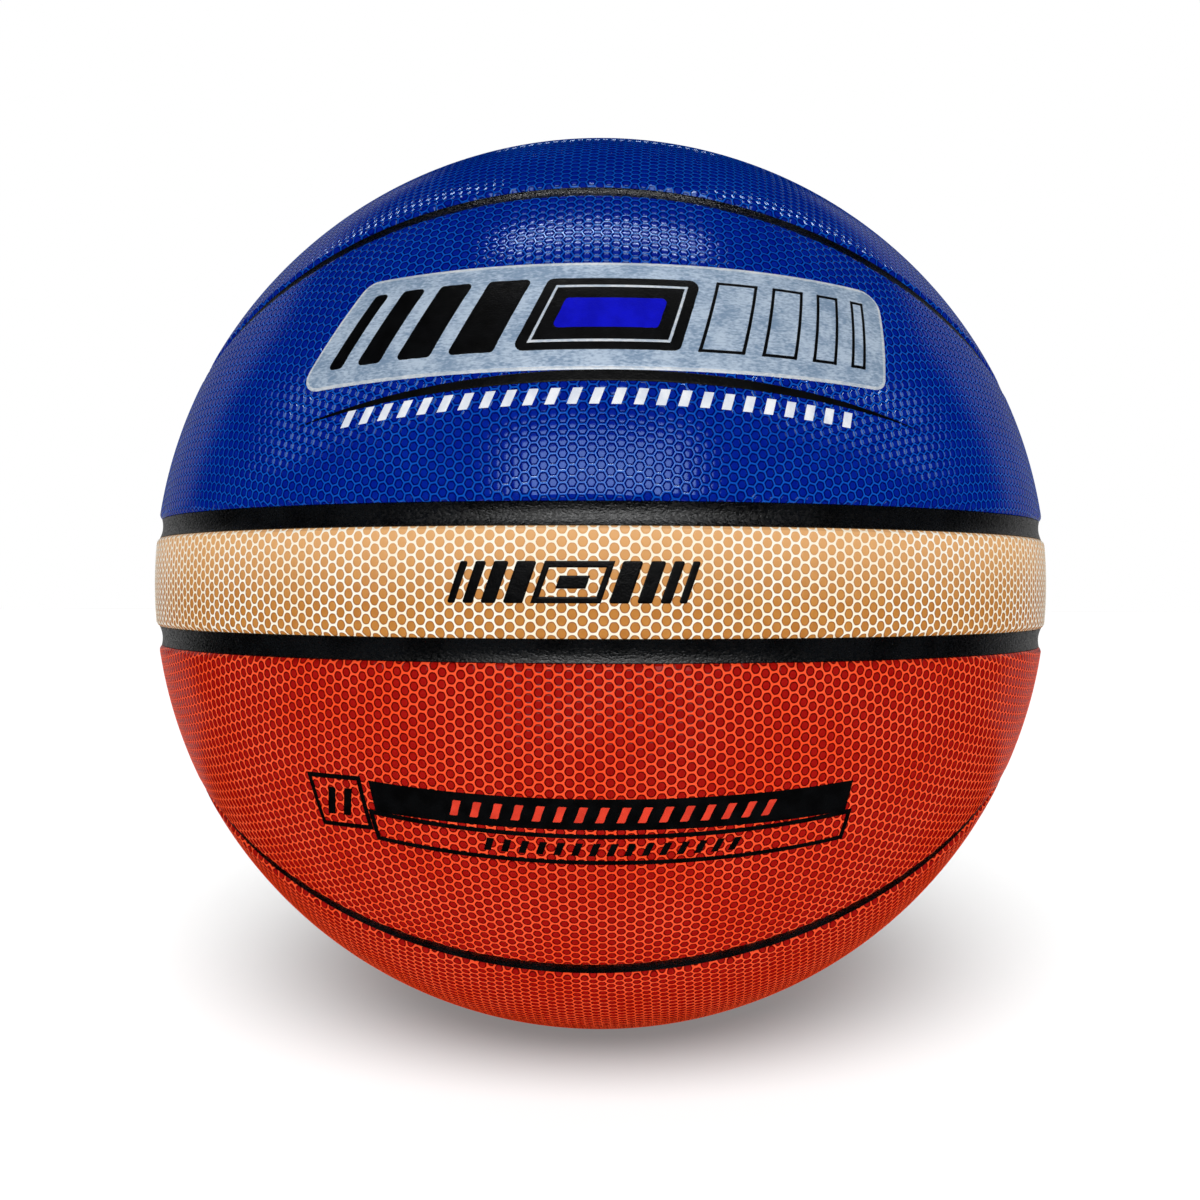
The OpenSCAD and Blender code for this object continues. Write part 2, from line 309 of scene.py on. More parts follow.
def pebbles(chart, edges, reach, offset, rng):
    """A patch of pebble cells in a chart, wherever the panel's edges hold a cell or a part of one."""
    across, up = COLUMN / 3, ROW / 2
    columns = np.arange(-int(reach / (3 * across)), int(reach / (3 * across)) + 1)
    rows = np.arange(-int(reach / ROW), int(reach / ROW) + 1)
    column, row = (grid.ravel() for grid in np.meshgrid(columns, rows))
    key = np.stack([3 * column, 2 * row + column % 2], -1)
    step = np.array([across, up])
    offset = np.array(offset)
    near = np.min(edges(chart(key * step + offset)), axis=0) > -ROW
    key = key[near]
    cells = len(key)
    turns = np.array([[2, 0], [1, 1], [-1, 1], [-2, 0], [-1, -1], [1, -1]])
    corner_keys = (key[:, None] + turns).reshape(-1, 2)
    span = 4 * int(reach / across)
    # Cells share the corners of their crests, which are told apart by whole numbers
    unique, where = np.unique(
        (corner_keys[:, 0] + span) * 4 * span + corner_keys[:, 1] + span, return_inverse=True
    )
    crest = np.stack([unique // (4 * span) - span, unique % (4 * span) - span], -1)
    centre = key * step
    arms = turns * step
    spokes = turns / (2 * math.sqrt(3), 2)
    rings = [(centre[:, None] + share * arms).reshape(-1, 2) for share in RING_SHARES]
    points = np.concatenate([centre, *rings, crest * step]) + offset
    sag = np.repeat(
        [-BUTTON_DROP, -RIM_DROP, -MOAT_DROP, -SHOULDER_DROP, 0],
        [cells, 6 * cells, 6 * cells, 6 * cells, len(crest)],
    )
    # The points are the cells' centres, then each ring's six corners in every cell, then the shared crest
    number = np.arange(cells)
    ring_start = cells * np.array([1, 7, 13])
    crest_start = cells * 19
    triangles, local = [], []
    zero = np.zeros(2)
    for side in range(6):
        after = (side + 1) % 6
        levels = [(start + 6 * number + side, start + 6 * number + after) for start in ring_start]
        levels.append((crest_start + where[6 * number + side], crest_start + where[6 * number + after]))
        shares = (*RING_SHARES, 1)
        spots = [(share * spokes[side], share * spokes[after]) for share in shares]
        triangles.append(np.stack([number, levels[0][0], levels[0][1]], -1))
        local.append([zero, spots[0][0], spots[0][1]])
        for low, high, spot, over in zip(levels, levels[1:], spots, spots[1:]):
            triangles.append(np.stack([low[0], high[0], high[1]], -1))
            local.append([spot[0], over[0], over[1]])
            triangles.append(np.stack([low[0], high[1], low[1]], -1))
            local.append([spot[0], over[1], spot[1]])
    local = np.repeat(np.array(local), cells, axis=0)
    tone = np.tile(rng.random(cells), len(triangles))
    patch = Patch(points, sag, np.concatenate(triangles), local, tone)
    for index in range(len(edges(chart(points[:1])))):
        patch.cut(edges(chart(patch.points))[index])
    return patch


def rim_of(triangles, total):
    """Directed edges that only one triangle has, with the patch at their left."""
    ends = np.concatenate([triangles[:, [0, 1]], triangles[:, [1, 2]], triangles[:, [2, 0]]])
    return ends[~np.isin(ends[:, 0] * total + ends[:, 1], ends[:, 1] * total + ends[:, 0])]


def inside_lines(spots, starts, ends):
    """Whether each spot lies inside closed lines: a ray from it crosses them an odd number of times."""
    low, high = starts[:, 1], ends[:, 1]
    height = spots[:, 1:]
    passes = (low > height) != (high > height)
    share = (height - low) / np.where(high == low, 1, high - low)
    crossing = starts[:, 0] + share * (ends[:, 0] - starts[:, 0])
    return (passes & (crossing > spots[:, :1])).sum(1) % 2 == 1


def flat_fill(points, rim, chart, edges):
    """Triangles of a coarse patch inside the same rim, and the points that they add."""
    ring = np.unique(rim)
    place = {old: new for new, old in enumerate(ring)}
    low, high = points[ring].min(0), points[ring].max(0)
    grid = np.stack(
        [axis.ravel() for axis in np.meshgrid(*(np.arange(a, b, INNER_STEP) for a, b in zip(low, high)))],
        -1,
    )
    grid = grid[np.min(edges(chart(grid)), axis=0) > INNER_STEP / 3]
    flat = np.concatenate([points[ring], grid])
    sides = [(place[a], place[b]) for a, b in rim.tolist()]
    spots = [Vector(spot) for spot in flat]
    _, _, faces, origins, _, _ = delaunay_2d_cdt(spots, sides, [], 1, LEAST_LENGTH)
    origin = np.array([known[0] for known in origins])
    triangles = origin[np.array(faces)]
    middle = flat[triangles].mean(1)
    distance = np.array(edges(chart(middle)))
    keep = distance[:BORDERS].min(0) > -RIM_SLACK
    if len(distance) > BORDERS:
        keep &= inside_lines(middle, points[rim[:, 0]], points[rim[:, 1]])
    return ring, grid, triangles[keep]


def new_object(name, points, faces, material, sharp_angle, body="root"):
    """A smooth piece from points in millimetres, riding on a body. Edges over an angle stay sharp."""
    mesh = bpy.data.meshes.new(name)
    mesh.from_pydata((np.asarray(points) * MM).tolist(), [], faces)
    mesh.shade_smooth()
    mesh.set_sharp_from_angle(angle=math.radians(sharp_angle))
    mesh.materials.append(materials[material])
    piece = bpy.data.objects.new(name, mesh)
    scene.collection.objects.link(piece)
    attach(piece, body)
    return piece


def add_map(mesh, name, corners):
    """A map with one place for each corner of each face."""
    layer = mesh.uv_layers.new(name=name)
    layer.uv.foreach_set("vector", np.asarray(corners, dtype=np.float32).ravel())


def bake_map(outer, inner):
    """One map with the outer face over the inner face, which is drawn smaller."""
    low, size = outer.min((0, 1)), np.ptp(outer, axis=(0, 1))
    small = 0.3
    margin = 0.01
    scale = (1 - 2 * margin) / max(size[0], size[1] * (1 + small) + margin * size[0])
    lift = margin * 2 + small * size[1] * scale
    outer = (outer - low) * scale + (margin, lift)
    inner = (inner - low) * scale * small + (margin, margin)
    return np.concatenate([outer, inner])


# Turns from the front and upper panels' frame to the back and the lower ones
FRONT_TOP = np.eye(3)
BACK = np.diag([-1, -1, 1])
UNDER = np.diag([-1, 1, -1])


def border_drop(distance):
    """The height of a panel's rounded edge over its top, at a distance from the border: zero or less."""
    lift = BALL_R + ROUND_LIFT - ROUND_R
    rise = lift + np.sqrt(ROUND_R ** 2 - np.clip(ROUND_W - distance, 0, ROUND_W) ** 2) - BALL_R
    return np.minimum(rise, 0)


def cover(name, slot, depth, chart, edges, reach, offset, turn, prints=(), valve=False):
    """A pebbled cover panel as a closed shell, in place of its CAD solid."""
    rng = np.random.default_rng(SEED)

    def all_edges(place):
        found = edges(place)
        if valve:
            found.append(BALL_R * np.arccos(np.clip(-place[:, 1], -1, 1)) - VALVE_HOLE_R)
        return found

    patch = pebbles(chart, all_edges, reach, offset, rng)
    place = chart(patch.points)
    distance = np.array(all_edges(place))
    near = distance[:BORDERS].min(0)
    fade = np.clip(near / BORDER_FADE_W, 0, 1)
    relief = depth * patch.relief * (BORDER_RELIEF + (1 - BORDER_RELIEF) * fade)
    height = TOP_R + border_drop(near)
    if valve:
        share = np.clip(1 - distance[BORDERS] / VALVE_HOLE_ROUND_W, 0, 1)
        height -= VALVE_HOLE_ROUND_DROP * share ** 2
        relief *= 1 - share
    pressed = np.zeros(len(place))
    for film_place, polygon in prints:
        pressed = np.maximum(pressed, inside_share(film_place, polygon, place @ turn.T))
    relief *= 1 - (1 - PRESS_RELIEF) * pressed
    height -= PRESS_DEPTH * pressed
    outer = place * (height + relief)[:, None]
    total = len(outer)
    rim = rim_of(patch.triangles, total)
    ring, grid, inner = flat_fill(patch.points, rim, chart, all_edges)
    below = np.full(total, -1)
    below[ring] = total + np.arange(len(ring))
    low_ring = chart(patch.points[ring]) * COVER_IN_R
    points = np.concatenate([outer, low_ring, chart(grid) * COVER_IN_R]) @ turn.T
    a, b = rim[:, 0], rim[:, 1]
    walls = np.concatenate([np.stack([b, a, below[a]], -1), np.stack([b, below[a], below[b]], -1)])
    inner_faces = inner[:, ::-1] + total
    triangles = np.concatenate([patch.triangles, walls, inner_faces])
    piece = new_object(name, points, triangles.tolist(), slot, PEBBLE_SHARP_ANGLE)
    mesh = piece.data
    map_cover(mesh, patch, rim, np.concatenate([patch.points[ring], grid]), inner)
    tone = np.concatenate([patch.tone, np.full(len(walls) + len(inner), WALL_TONE)])
    mesh.attributes.new("tone", "FLOAT", "FACE").data.foreach_set("value", tone.astype(np.float32))
    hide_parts(name.replace("_shell", "_cover"))


def map_cover(mesh, patch, rim, inner_points, inner):
    """Each corner's place in its pebble's cell, and the panel's own flat map."""
    a, b = rim[:, 0], rim[:, 1]
    total = len(patch.points)
    known = np.zeros((total, 2))
    known[patch.triangles.ravel()] = patch.local.reshape(-1, 2)
    wall_corners = ([b, a, a], [b, a, b])
    wall_local = np.concatenate([known[corners].transpose(1, 0, 2) for corners in wall_corners])
    inner_local = np.zeros((len(inner), 3, 2))
    add_map(mesh, "cell", np.concatenate([patch.local, wall_local, inner_local]) + CELL_MIDDLE)
    along = patch.points[b] - patch.points[a]
    outward = np.stack([along[:, 1], -along[:, 0]], -1)
    outward /= np.maximum(np.linalg.norm(outward, axis=1, keepdims=True), LEAST_LENGTH)
    push = np.zeros((total, 2))
    np.add.at(push, a, outward)
    np.add.at(push, b, outward)
    push /= np.maximum(np.linalg.norm(push, axis=1, keepdims=True), LEAST_LENGTH)
    top, low = patch.points, patch.points + push
    upper_walls = np.stack([top[b], top[a], low[a]], 1)
    lower_walls = np.stack([top[b], low[a], low[b]], 1)
    outer_spots = np.concatenate([top[patch.triangles], upper_walls, lower_walls])
    add_map(mesh, "OFBake", bake_map(outer_spots, inner_points[inner[:, ::-1]]))
    mesh.uv_layers.active = mesh.uv_layers["cell"]


# Prints: thin films in round-cornered convex shapes, laid along a bowed line on the ball
class Line:
    """A bowed line on the ball. Its own coordinates run along it and up from it, in millimetres."""

    def __init__(self, longitude, latitude, end_latitude, half_length, lift=0.0):
        self.longitude, self.latitude = math.radians(longitude), math.radians(latitude)
        self.bow = math.radians(end_latitude - latitude) / half_length ** 2
        self.scale = BALL_R * math.cos(self.latitude)
        self.half_length, self.lift = half_length, lift

    def chart(self, points):
        s, t = points[:, 0], points[:, 1]
        latitude = self.latitude + self.bow * s ** 2 + t / BALL_R
        return direction(self.longitude + s / self.scale, latitude)

    def back(self, place):
        s = (longitude_of(place) - self.longitude) * self.scale
        return np.stack([s, (latitude_of(place) - self.latitude - self.bow * s ** 2) * BALL_R], -1)


def slanted(left, right, low, high, lean=0.0):
    """A parallelogram, leaning to the right by that share of its height."""
    return [
        (left + lean * low, low),
        (right + lean * low, low),
        (right + lean * high, high),
        (left + lean * high, high),
    ]


def rounded(polygon, radius, steps=5):
    """A convex polygon with its corners cut to arcs."""
    found = []
    spots = np.array(polygon, dtype=float)
    for index, corner in enumerate(spots):
        before, after = spots[index - 1] - corner, spots[(index + 1) % len(spots)] - corner
        before, after = before / np.linalg.norm(before), after / np.linalg.norm(after)
        half = math.acos(np.clip(before @ after, -1, 1)) / 2
        middle = (before + after) / np.linalg.norm(before + after)
        centre = corner + middle * radius / math.sin(half)
        start, end = corner + before * radius / math.tan(half), corner + after * radius / math.tan(half)
        low = math.atan2(*(start - centre)[::-1])
        sweep = (math.atan2(*(end - centre)[::-1]) - low + math.pi) % (2 * math.pi) - math.pi
        for step in range(steps + 1):
            angle = low + sweep * step / steps
            found.append(tuple(centre + radius * np.array([math.cos(angle), math.sin(angle)])))
    return found


def lens(half_length, half_width, steps=12):
    """A long shape that tapers to a point at each end."""
    spots = np.linspace(-1, 1, steps + 1)
    low = [(half_length * x, -half_width * (1 - x * x)) for x in spots]
    high = [(half_length * x, half_width * (1 - x * x)) for x in spots[1:-1][::-1]]
    return low + high


def side_distances(polygon, points):
    """How far points lie inside each side of a convex polygon."""
    spots = np.array(polygon)
    along = np.roll(spots, -1, axis=0) - spots
    inward = np.stack([-along[:, 1], along[:, 0]], -1)
    inward /= np.linalg.norm(inward, axis=1, keepdims=True)
    return [(points - spot) @ normal for spot, normal in zip(spots, inward)]


def inside_share(line, polygon, place):
    """1 under a print, falling to 0 a little way outside it."""
    distance = np.min(side_distances(polygon, line.back(place)), axis=0)
    return np.clip(1 + distance / PRESS_MARGIN, 0, 1)


def film_patch(polygon):
    """A patch that fills a polygon, cut along its bevel too, and each point's share of the bevel's rise."""
    spots = np.array(polygon)
    low, high = spots.min(0) - FILM_STEP, spots.max(0) + FILM_STEP
    counts = np.ceil((high - low) / FILM_STEP).astype(int)
    s, t = np.meshgrid(*(np.linspace(a, b, count + 1) for a, b, count in zip(low, high, counts)))
    grid = np.stack([s.ravel(), t.ravel()], -1)
    wide = counts[0] + 1
    base = (np.arange(counts[1])[:, None] * wide + np.arange(counts[0])).ravel()
    triangles = np.concatenate([
        np.stack([base, base + 1, base + wide + 1], -1),
        np.stack([base, base + wide + 1, base + wide], -1),
    ])
    blank = np.zeros((len(triangles), 3, 2))
    patch = Patch(grid, np.zeros(len(grid)), triangles, blank, np.zeros(len(triangles)))
    for index in range(len(polygon)):
        patch.cut(side_distances(polygon, patch.points)[index])
    edge_w = min(FILM_EDGE_W, np.min(side_distances(polygon, spots.mean(0)[None])) / 2)
    for index in range(len(polygon)):
        patch.cut(side_distances(polygon, patch.points)[index] - edge_w, both=True)
    edge = np.min(side_distances(polygon, patch.points), axis=0) / edge_w
    return patch, np.clip(edge, 0, 1)


def film(name, material, shapes):
    """Printed shapes as closed films. shapes is a list of (line, polygon)."""
    points, faces = [], []
    total = 0
    for line, polygon in shapes:
        patch, edge = film_patch(polygon)
        place = line.chart(patch.points)
        height = TOP_R + FILM_LIFT + line.lift - FILM_EDGE_DROP * (1 - edge) ** 2
        count = len(place)
        points += [place * height[:, None], place * (TOP_R - FILM_FOOT_DROP)]
        rim = rim_of(patch.triangles, count)
        a, b = rim[:, 0], rim[:, 1]
        faces += [
            patch.triangles + total,
            np.stack([b, a, a + count], -1) + total,
            np.stack([b, a + count, b + count], -1) + total,
            patch.triangles[:, ::-1] + count + total,
        ]
        total += 2 * count
    faces = np.concatenate(faces).tolist()
    piece = new_object(name, np.concatenate(points), faces, material, FILM_SHARP_ANGLE)


# Channel strips
def strip_section(channel_w):
    """A strip's section, as (across, radius), with a hollow top and cut corners."""
    half_w = channel_w / 2 - STRIP_GAP
    edge_r = BALL_R + border_drop(np.zeros(1))[0] - STRIP_STEP
    shares = np.linspace(1, -1, STRIP_TOP_POINTS)
    top_half_w = half_w * STRIP_TOP_SHARE
    top = [(top_half_w * share, edge_r - STRIP_HOLLOW * (1 - share ** 2)) for share in shares]
    foot = [(-half_w, STRIP_FOOT_R), (half_w, STRIP_FOOT_R)]
    return np.array([(half_w, edge_r - STRIP_ROUND), *top, (-half_w, edge_r - STRIP_ROUND), *foot])


def sweep(seam, across, section, closed):
    """Points and faces of a section carried along a seam on the ball."""
    count = len(section)
    points = seam[:, None] * section[None, :, 1:] + across[:, None] * section[None, :, :1]
    rings = len(seam)
    faces = []
    for ring in range(rings if closed else rings - 1):
        here, after = ring * count, (ring + 1) % rings * count
        for spot in range(count):
            beside = (spot + 1) % count
            faces.append((here + spot, after + spot, after + beside, here + beside))
    if not closed:
        faces.append(tuple(range(count)))
        faces.append(tuple(range(rings * count - 1, (rings - 1) * count - 1, -1)))
    return points.reshape(-1, 3), faces


def strip(name, stretches, channel_w):
    """A channel's rubber strip, of one or more stretches. Each is (seam, across, closed)."""
    points, faces = [], []
    section = strip_section(channel_w)
    for seam, across, closed in stretches:
        start = sum(map(len, points))
        new_points, new_faces = sweep(seam, across, section, closed)
        points.append(new_points)
        faces += [tuple(start + corner for corner in face) for face in new_faces]
    piece = new_object(name, np.concatenate(points), faces, "channel_rubber", STRIP_SHARP_ANGLE)
    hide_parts(name.replace("_strip", "_channel"))


# Seams: their points, the directions across them, and whether they close on themselves
def belt_seam(side):
    turns = np.radians(np.arange(0, 360, SEAM_STEP))
    latitude = side * BELT_LATITUDE
    seam = direction(turns, np.full_like(turns, latitude))
    return seam, direction(turns, np.full_like(turns, latitude - math.pi / 2)), True


def loop_seam(side, front_latitude):
    turns = np.radians(np.arange(0, 360, SEAM_STEP))
    height, radius = bow(front_latitude)
    x = SIDE_X * np.cos(turns)
    z = height + np.sqrt(radius ** 2 - x ** 2)
    # The sine is rounded, so that it is exactly zero where the loop meets the meridian
    y = np.sqrt(np.maximum(1 - x ** 2 - z ** 2, 0)) * -np.sign(np.sin(turns).round(9))
    seam = np.stack([x, y, z], -1)
    along = np.roll(seam, -1, axis=0) - np.roll(seam, 1, axis=0)
    across = np.cross(along, seam)
    across /= np.linalg.norm(across, axis=1, keepdims=True)
    if side < 0:
        seam, across = seam @ UNDER, across @ UNDER
    return seam, across, True


def meridian_stretch(low, high):
    turns = np.radians(np.linspace(low, high, max(3, int((high - low) / SEAM_STEP))))
    seam = np.stack([np.cos(turns), np.zeros_like(turns), np.sin(turns)], -1)
    across = np.tile([0.0, 1.0, 0.0], (len(turns), 1))
    return seam, across, False


# Materials by name
materials = {}


def new_material(name):
    material = bpy.data.materials.new(name)
    material.use_nodes = True
    materials[name] = material
    return material.node_tree, material.node_tree.nodes["Principled BSDF"]


def wire(tree, node, inputs):
    """Links each input to an output, or sets it to a value."""
    for key, value in inputs.items():
        if isinstance(value, bpy.types.NodeSocket):
            tree.links.new(value, node.inputs[key])
        else:
            node.inputs[key].default_value = value


def add_node(tree, kind, inputs=(), **settings):
    node = tree.nodes.new(kind)
    for key, value in settings.items():
        setattr(node, key, value)
    wire(tree, node, dict(inputs))
    return node


def maths(tree, operation, *values):
    inputs = dict(enumerate(values))
    return add_node(tree, "ShaderNodeMath", inputs, operation=operation).outputs[0]


def smooth(tree, value, low, high):
    inputs = {"Value": value, "From Min": low, "From Max": high}
    return add_node(tree, "ShaderNodeMapRange", inputs, interpolation_type="SMOOTHSTEP").outputs["Result"]


def scaled(tree, value, factor, base):
    """A value times a factor, plus a base."""
    return maths(tree, "ADD", maths(tree, "MULTIPLY", value, factor), base)


def mean(tree, first, second):
    return maths(tree, "MULTIPLY", maths(tree, "ADD", first, second), 0.5)


def mix(tree, share, first, second):
    """A blend of two colours. The node's inputs for colours are its seventh and eighth."""
    inputs = {0: share, 6: first, 7: second}
    return add_node(tree, "ShaderNodeMix", inputs, data_type="RGBA").outputs[2]


def object_spots(tree):
    return add_node(tree, "ShaderNodeTexCoord").outputs["Object"]


def noise(tree, scale, detail=2.0, roughness=0.5):
    inputs = {"Vector": object_spots(tree), "Scale": scale, "Detail": detail, "Roughness": roughness}
    return add_node(tree, "ShaderNodeTexNoise", inputs).outputs["Fac"]


def bump(tree, height, distance, strength=1.0):
    inputs = {"Height": height, "Distance": distance, "Strength": strength}
    return add_node(tree, "ShaderNodeBump", inputs).outputs["Normal"]


def rgb(code):
    """A colour from its six-digit screen code, as linear light."""
    shares = [int(code[index:index + 2], 16) / 255 for index in (0, 2, 4)]
    linear = [s / 12.92 if s <= 0.04045 else ((s + 0.055) / 1.055) ** 2.4 for s in shares]
    return (*linear, 1)


# Looks. Scales are per metre, depths are in metres, and a ramp gives the two values that it runs between.
# The painted highlight's range, which lightens the dots towards the top of the belt, is in shares of the
# belt's height
WIDE_RAMP = (0.3, 0.7)
MIDDLE_RAMP = (0.35, 0.65)
NOISE_MIDDLE = 0.5
HEX_FIT = 0.96
HEX_NORMALS = (30, 90, 150)
RAGGED_SCALE = 1500
RAGGED_SHARE = 0.05
BLOTCH_SCALE = 420
BLOTCH_HEIGHT = 0.6
CLOUD_SCALE = 60
PAINTED_HIGHLIGHT_RANGE = (-0.3, 0.6)
PAINTED_HIGHLIGHT_SHARE = 0.85
BUTTON_RAMP = (0.24, 0.3)
BUTTON_ROUGH = 0.03
COVER_GRAIN_SCALE = 5200
COVER_GRAIN_ROUGH = 0.07
COVER_GRAIN_DEPTH = 0.000008


def cover_material(
    name, net, dot, ring, shade_ring_ramp, net_ramp, gloss, specular, roundness, tint="FFFFFF", painted_highlight=None
):
    """Composite leather: dots in a lighter net, with a ring of painted shade round each dot where its moat
    lies. It can also paint a highlight that lightens the dots towards the top.
    """
    tree, shader = new_material(name)
    cell = add_node(tree, "ShaderNodeUVMap", uv_map="cell").outputs["UV"]
    inputs = {0: cell, 1: (CELL_MIDDLE, CELL_MIDDLE, 0)}
    spot = add_node(tree, "ShaderNodeVectorMath", inputs, operation="SUBTRACT").outputs[0]
    radius = add_node(tree, "ShaderNodeVectorMath", {0: spot}, operation="LENGTH").outputs["Value"]
    sides = []
    for turn in HEX_NORMALS:
        normal = (math.cos(math.radians(turn)), math.sin(math.radians(turn)), 0)
        side = add_node(tree, "ShaderNodeVectorMath", {0: spot, 1: normal}, operation="DOT_PRODUCT")
        sides.append(maths(tree, "ABSOLUTE", side.outputs["Value"]))
    hexagon = maths(tree, "MAXIMUM", maths(tree, "MAXIMUM", sides[0], sides[1]), sides[2])
    radius = scaled(tree, hexagon, 1 - roundness, maths(tree, "MULTIPLY", radius, roundness * HEX_FIT))
    ragged = maths(tree, "SUBTRACT", noise(tree, RAGGED_SCALE), NOISE_MIDDLE)
    radius = scaled(tree, ragged, RAGGED_SHARE, radius)
    tone = add_node(tree, "ShaderNodeAttribute", attribute_name="tone").outputs["Fac"]
    blotch = smooth(tree, noise(tree, BLOTCH_SCALE, detail=3), *WIDE_RAMP)
    face = mix(tree, mean(tree, tone, blotch), rgb(dot[0]), rgb(dot[1]))
    # Painted shade: a darker ring of colour in the moat round each dot, where the hollow lies in shade
    face = mix(tree, smooth(tree, radius, *shade_ring_ramp), face, rgb(ring))
    # Painted highlight: the dots turn lighter towards the top of the belt, where the light from above falls
    if painted_highlight:
        spots = add_node(tree, "ShaderNodeSeparateXYZ", {"Vector": object_spots(tree)})
        rise = smooth(tree, spots.outputs["Z"], *(share * BELT_W * MM for share in PAINTED_HIGHLIGHT_RANGE))
        face = mix(tree, maths(tree, "MULTIPLY", rise, PAINTED_HIGHLIGHT_SHARE), face, rgb(painted_highlight))
    cloud = smooth(tree, noise(tree, CLOUD_SCALE), *MIDDLE_RAMP)
    web = mix(tree, cloud, rgb(net[0]), rgb(net[1]))
    grain = noise(tree, COVER_GRAIN_SCALE, detail=3)
    button = maths(tree, "SUBTRACT", 1, smooth(tree, radius, *BUTTON_RAMP))
    height = scaled(tree, blotch, BLOTCH_HEIGHT, grain)
    wire(tree, shader, {
        "Base Color": mix(tree, smooth(tree, radius, *net_ramp), face, web),
        "Roughness": scaled(tree, button, BUTTON_ROUGH, scaled(tree, grain, COVER_GRAIN_ROUGH, gloss)),
        "Specular IOR Level": specular,
        "Specular Tint": rgb(tint),
        "Normal": bump(tree, height, COVER_GRAIN_DEPTH, strength=0.5),
    })


RUBBER_PATCH_SCALE = 90
RUBBER_STRETCH = (0.6, 0.6, 1)
RUBBER_FINER = 1.6
CREASE_RAMP = (0, 0.2)
CREASE_HEIGHT = 0.15
RUBBER_GRAIN_ROUGH = 0.3


def rubber_material(name, dark, light, rough, grain_scale, depth, specular=0.5):
    """Moulded rubber with a leathery grain."""
    tree, shader = new_material(name)
    patches = smooth(tree, noise(tree, RUBBER_PATCH_SCALE, detail=3), *MIDDLE_RAMP)
    inputs = {"Vector": object_spots(tree), "Scale": RUBBER_STRETCH}
    spots = add_node(tree, "ShaderNodeMapping", inputs).outputs[0]
    inputs = {"Vector": spots, "Scale": grain_scale}
    creases = add_node(tree, "ShaderNodeTexVoronoi", inputs, feature="DISTANCE_TO_EDGE").outputs["Distance"]
    inputs = {"Vector": spots, "Scale": grain_scale * RUBBER_FINER, "Detail": 4, "Roughness": 0.6}
    grain = add_node(tree, "ShaderNodeTexNoise", inputs).outputs["Fac"]
    height = scaled(tree, smooth(tree, creases, *CREASE_RAMP), CREASE_HEIGHT, grain)
    wire(tree, shader, {
        "Base Color": mix(tree, patches, rgb(dark), rgb(light)),
        "Roughness": scaled(tree, smooth(tree, grain, *MIDDLE_RAMP), RUBBER_GRAIN_ROUGH, rough),
        "Specular IOR Level": specular,
        "Normal": bump(tree, height, depth),
    })


FOIL_STREAKS = (900, 900, 2600)
FOIL_CRUMPLE_SCALE = 160
FOIL_RAMP = (0.38, 0.62)
FOIL_ROUGH = 0.33
FOIL_STREAK_ROUGH = 0.2
FOIL_GRAIN_SCALE = 1800
FOIL_GRAIN_DEPTH = 0.00005


def foil_material(name, dark, light):
    """Silver foil with a brushed, slightly crumpled face."""
    tree, shader = new_material(name)
    inputs = {"Vector": object_spots(tree), "Scale": FOIL_STREAKS}
    stretch = add_node(tree, "ShaderNodeMapping", inputs).outputs[0]
    inputs = {"Vector": stretch, "Scale": 1, "Detail": 3}
    streak = add_node(tree, "ShaderNodeTexNoise", inputs).outputs["Fac"]
    crumple = mean(tree, streak, noise(tree, FOIL_CRUMPLE_SCALE, detail=4, roughness=0.6))
    height = maths(tree, "ADD", streak, noise(tree, FOIL_GRAIN_SCALE, detail=3))
    wire(tree, shader, {
        "Base Color": mix(tree, smooth(tree, crumple, *FOIL_RAMP), rgb(dark), rgb(light)),
        "Metallic": 0.3,
        "Roughness": scaled(tree, streak, FOIL_STREAK_ROUGH, FOIL_ROUGH),
        "Normal": bump(tree, height, FOIL_GRAIN_DEPTH, strength=0.6),
    })


INK_PATCH_SCALE = 260
INK_GRAIN_SCALE = 2600
INK_SWELL_SCALE = 500
INK_GRAIN_ROUGH = 0.2
INK_DEPTH = 0.00012


def ink_material(name, dark, light, rough, specular=0.25):
    """Thick printed ink with a fine orange-peel face."""
    tree, shader = new_material(name)
    patches = smooth(tree, noise(tree, INK_PATCH_SCALE, detail=3), *WIDE_RAMP)
    grain = noise(tree, INK_GRAIN_SCALE, detail=3)
    height = maths(tree, "ADD", grain, noise(tree, INK_SWELL_SCALE))
    wire(tree, shader, {
        "Base Color": mix(tree, patches, rgb(dark), rgb(light)),
        "Roughness": scaled(tree, grain, INK_GRAIN_ROUGH, rough),
        "Specular IOR Level": specular,
        "Normal": bump(tree, height, INK_DEPTH, strength=0.7),
    })


THREAD_TURNS = ((0.3, 0.2, 0), (1.3, 0.4, 0.9), (0.7, 1.2, 2.0))
THREAD_SCALE = 260
THREAD_WAVER = 1.5
THREAD_DEPTH = 0.0002


def thread_material(name, dark, light):
    """Waxed thread wound in three directions."""
    tree, shader = new_material(name)
    spots = object_spots(tree)
    height = None
    for turn in THREAD_TURNS:
        turned = add_node(tree, "ShaderNodeMapping", {"Vector": spots, "Rotation": turn}).outputs[0]
        inputs = {"Vector": turned, "Scale": THREAD_SCALE, "Distortion": THREAD_WAVER, "Detail": 1}
        band = add_node(tree, "ShaderNodeTexWave", inputs).outputs["Fac"]
        height = band if height is None else maths(tree, "MAXIMUM", height, band)
    wire(tree, shader, {
        "Base Color": mix(tree, height, rgb(dark), rgb(light)),
        "Roughness": 0.6,
        "Normal": bump(tree, height, THREAD_DEPTH),
    })
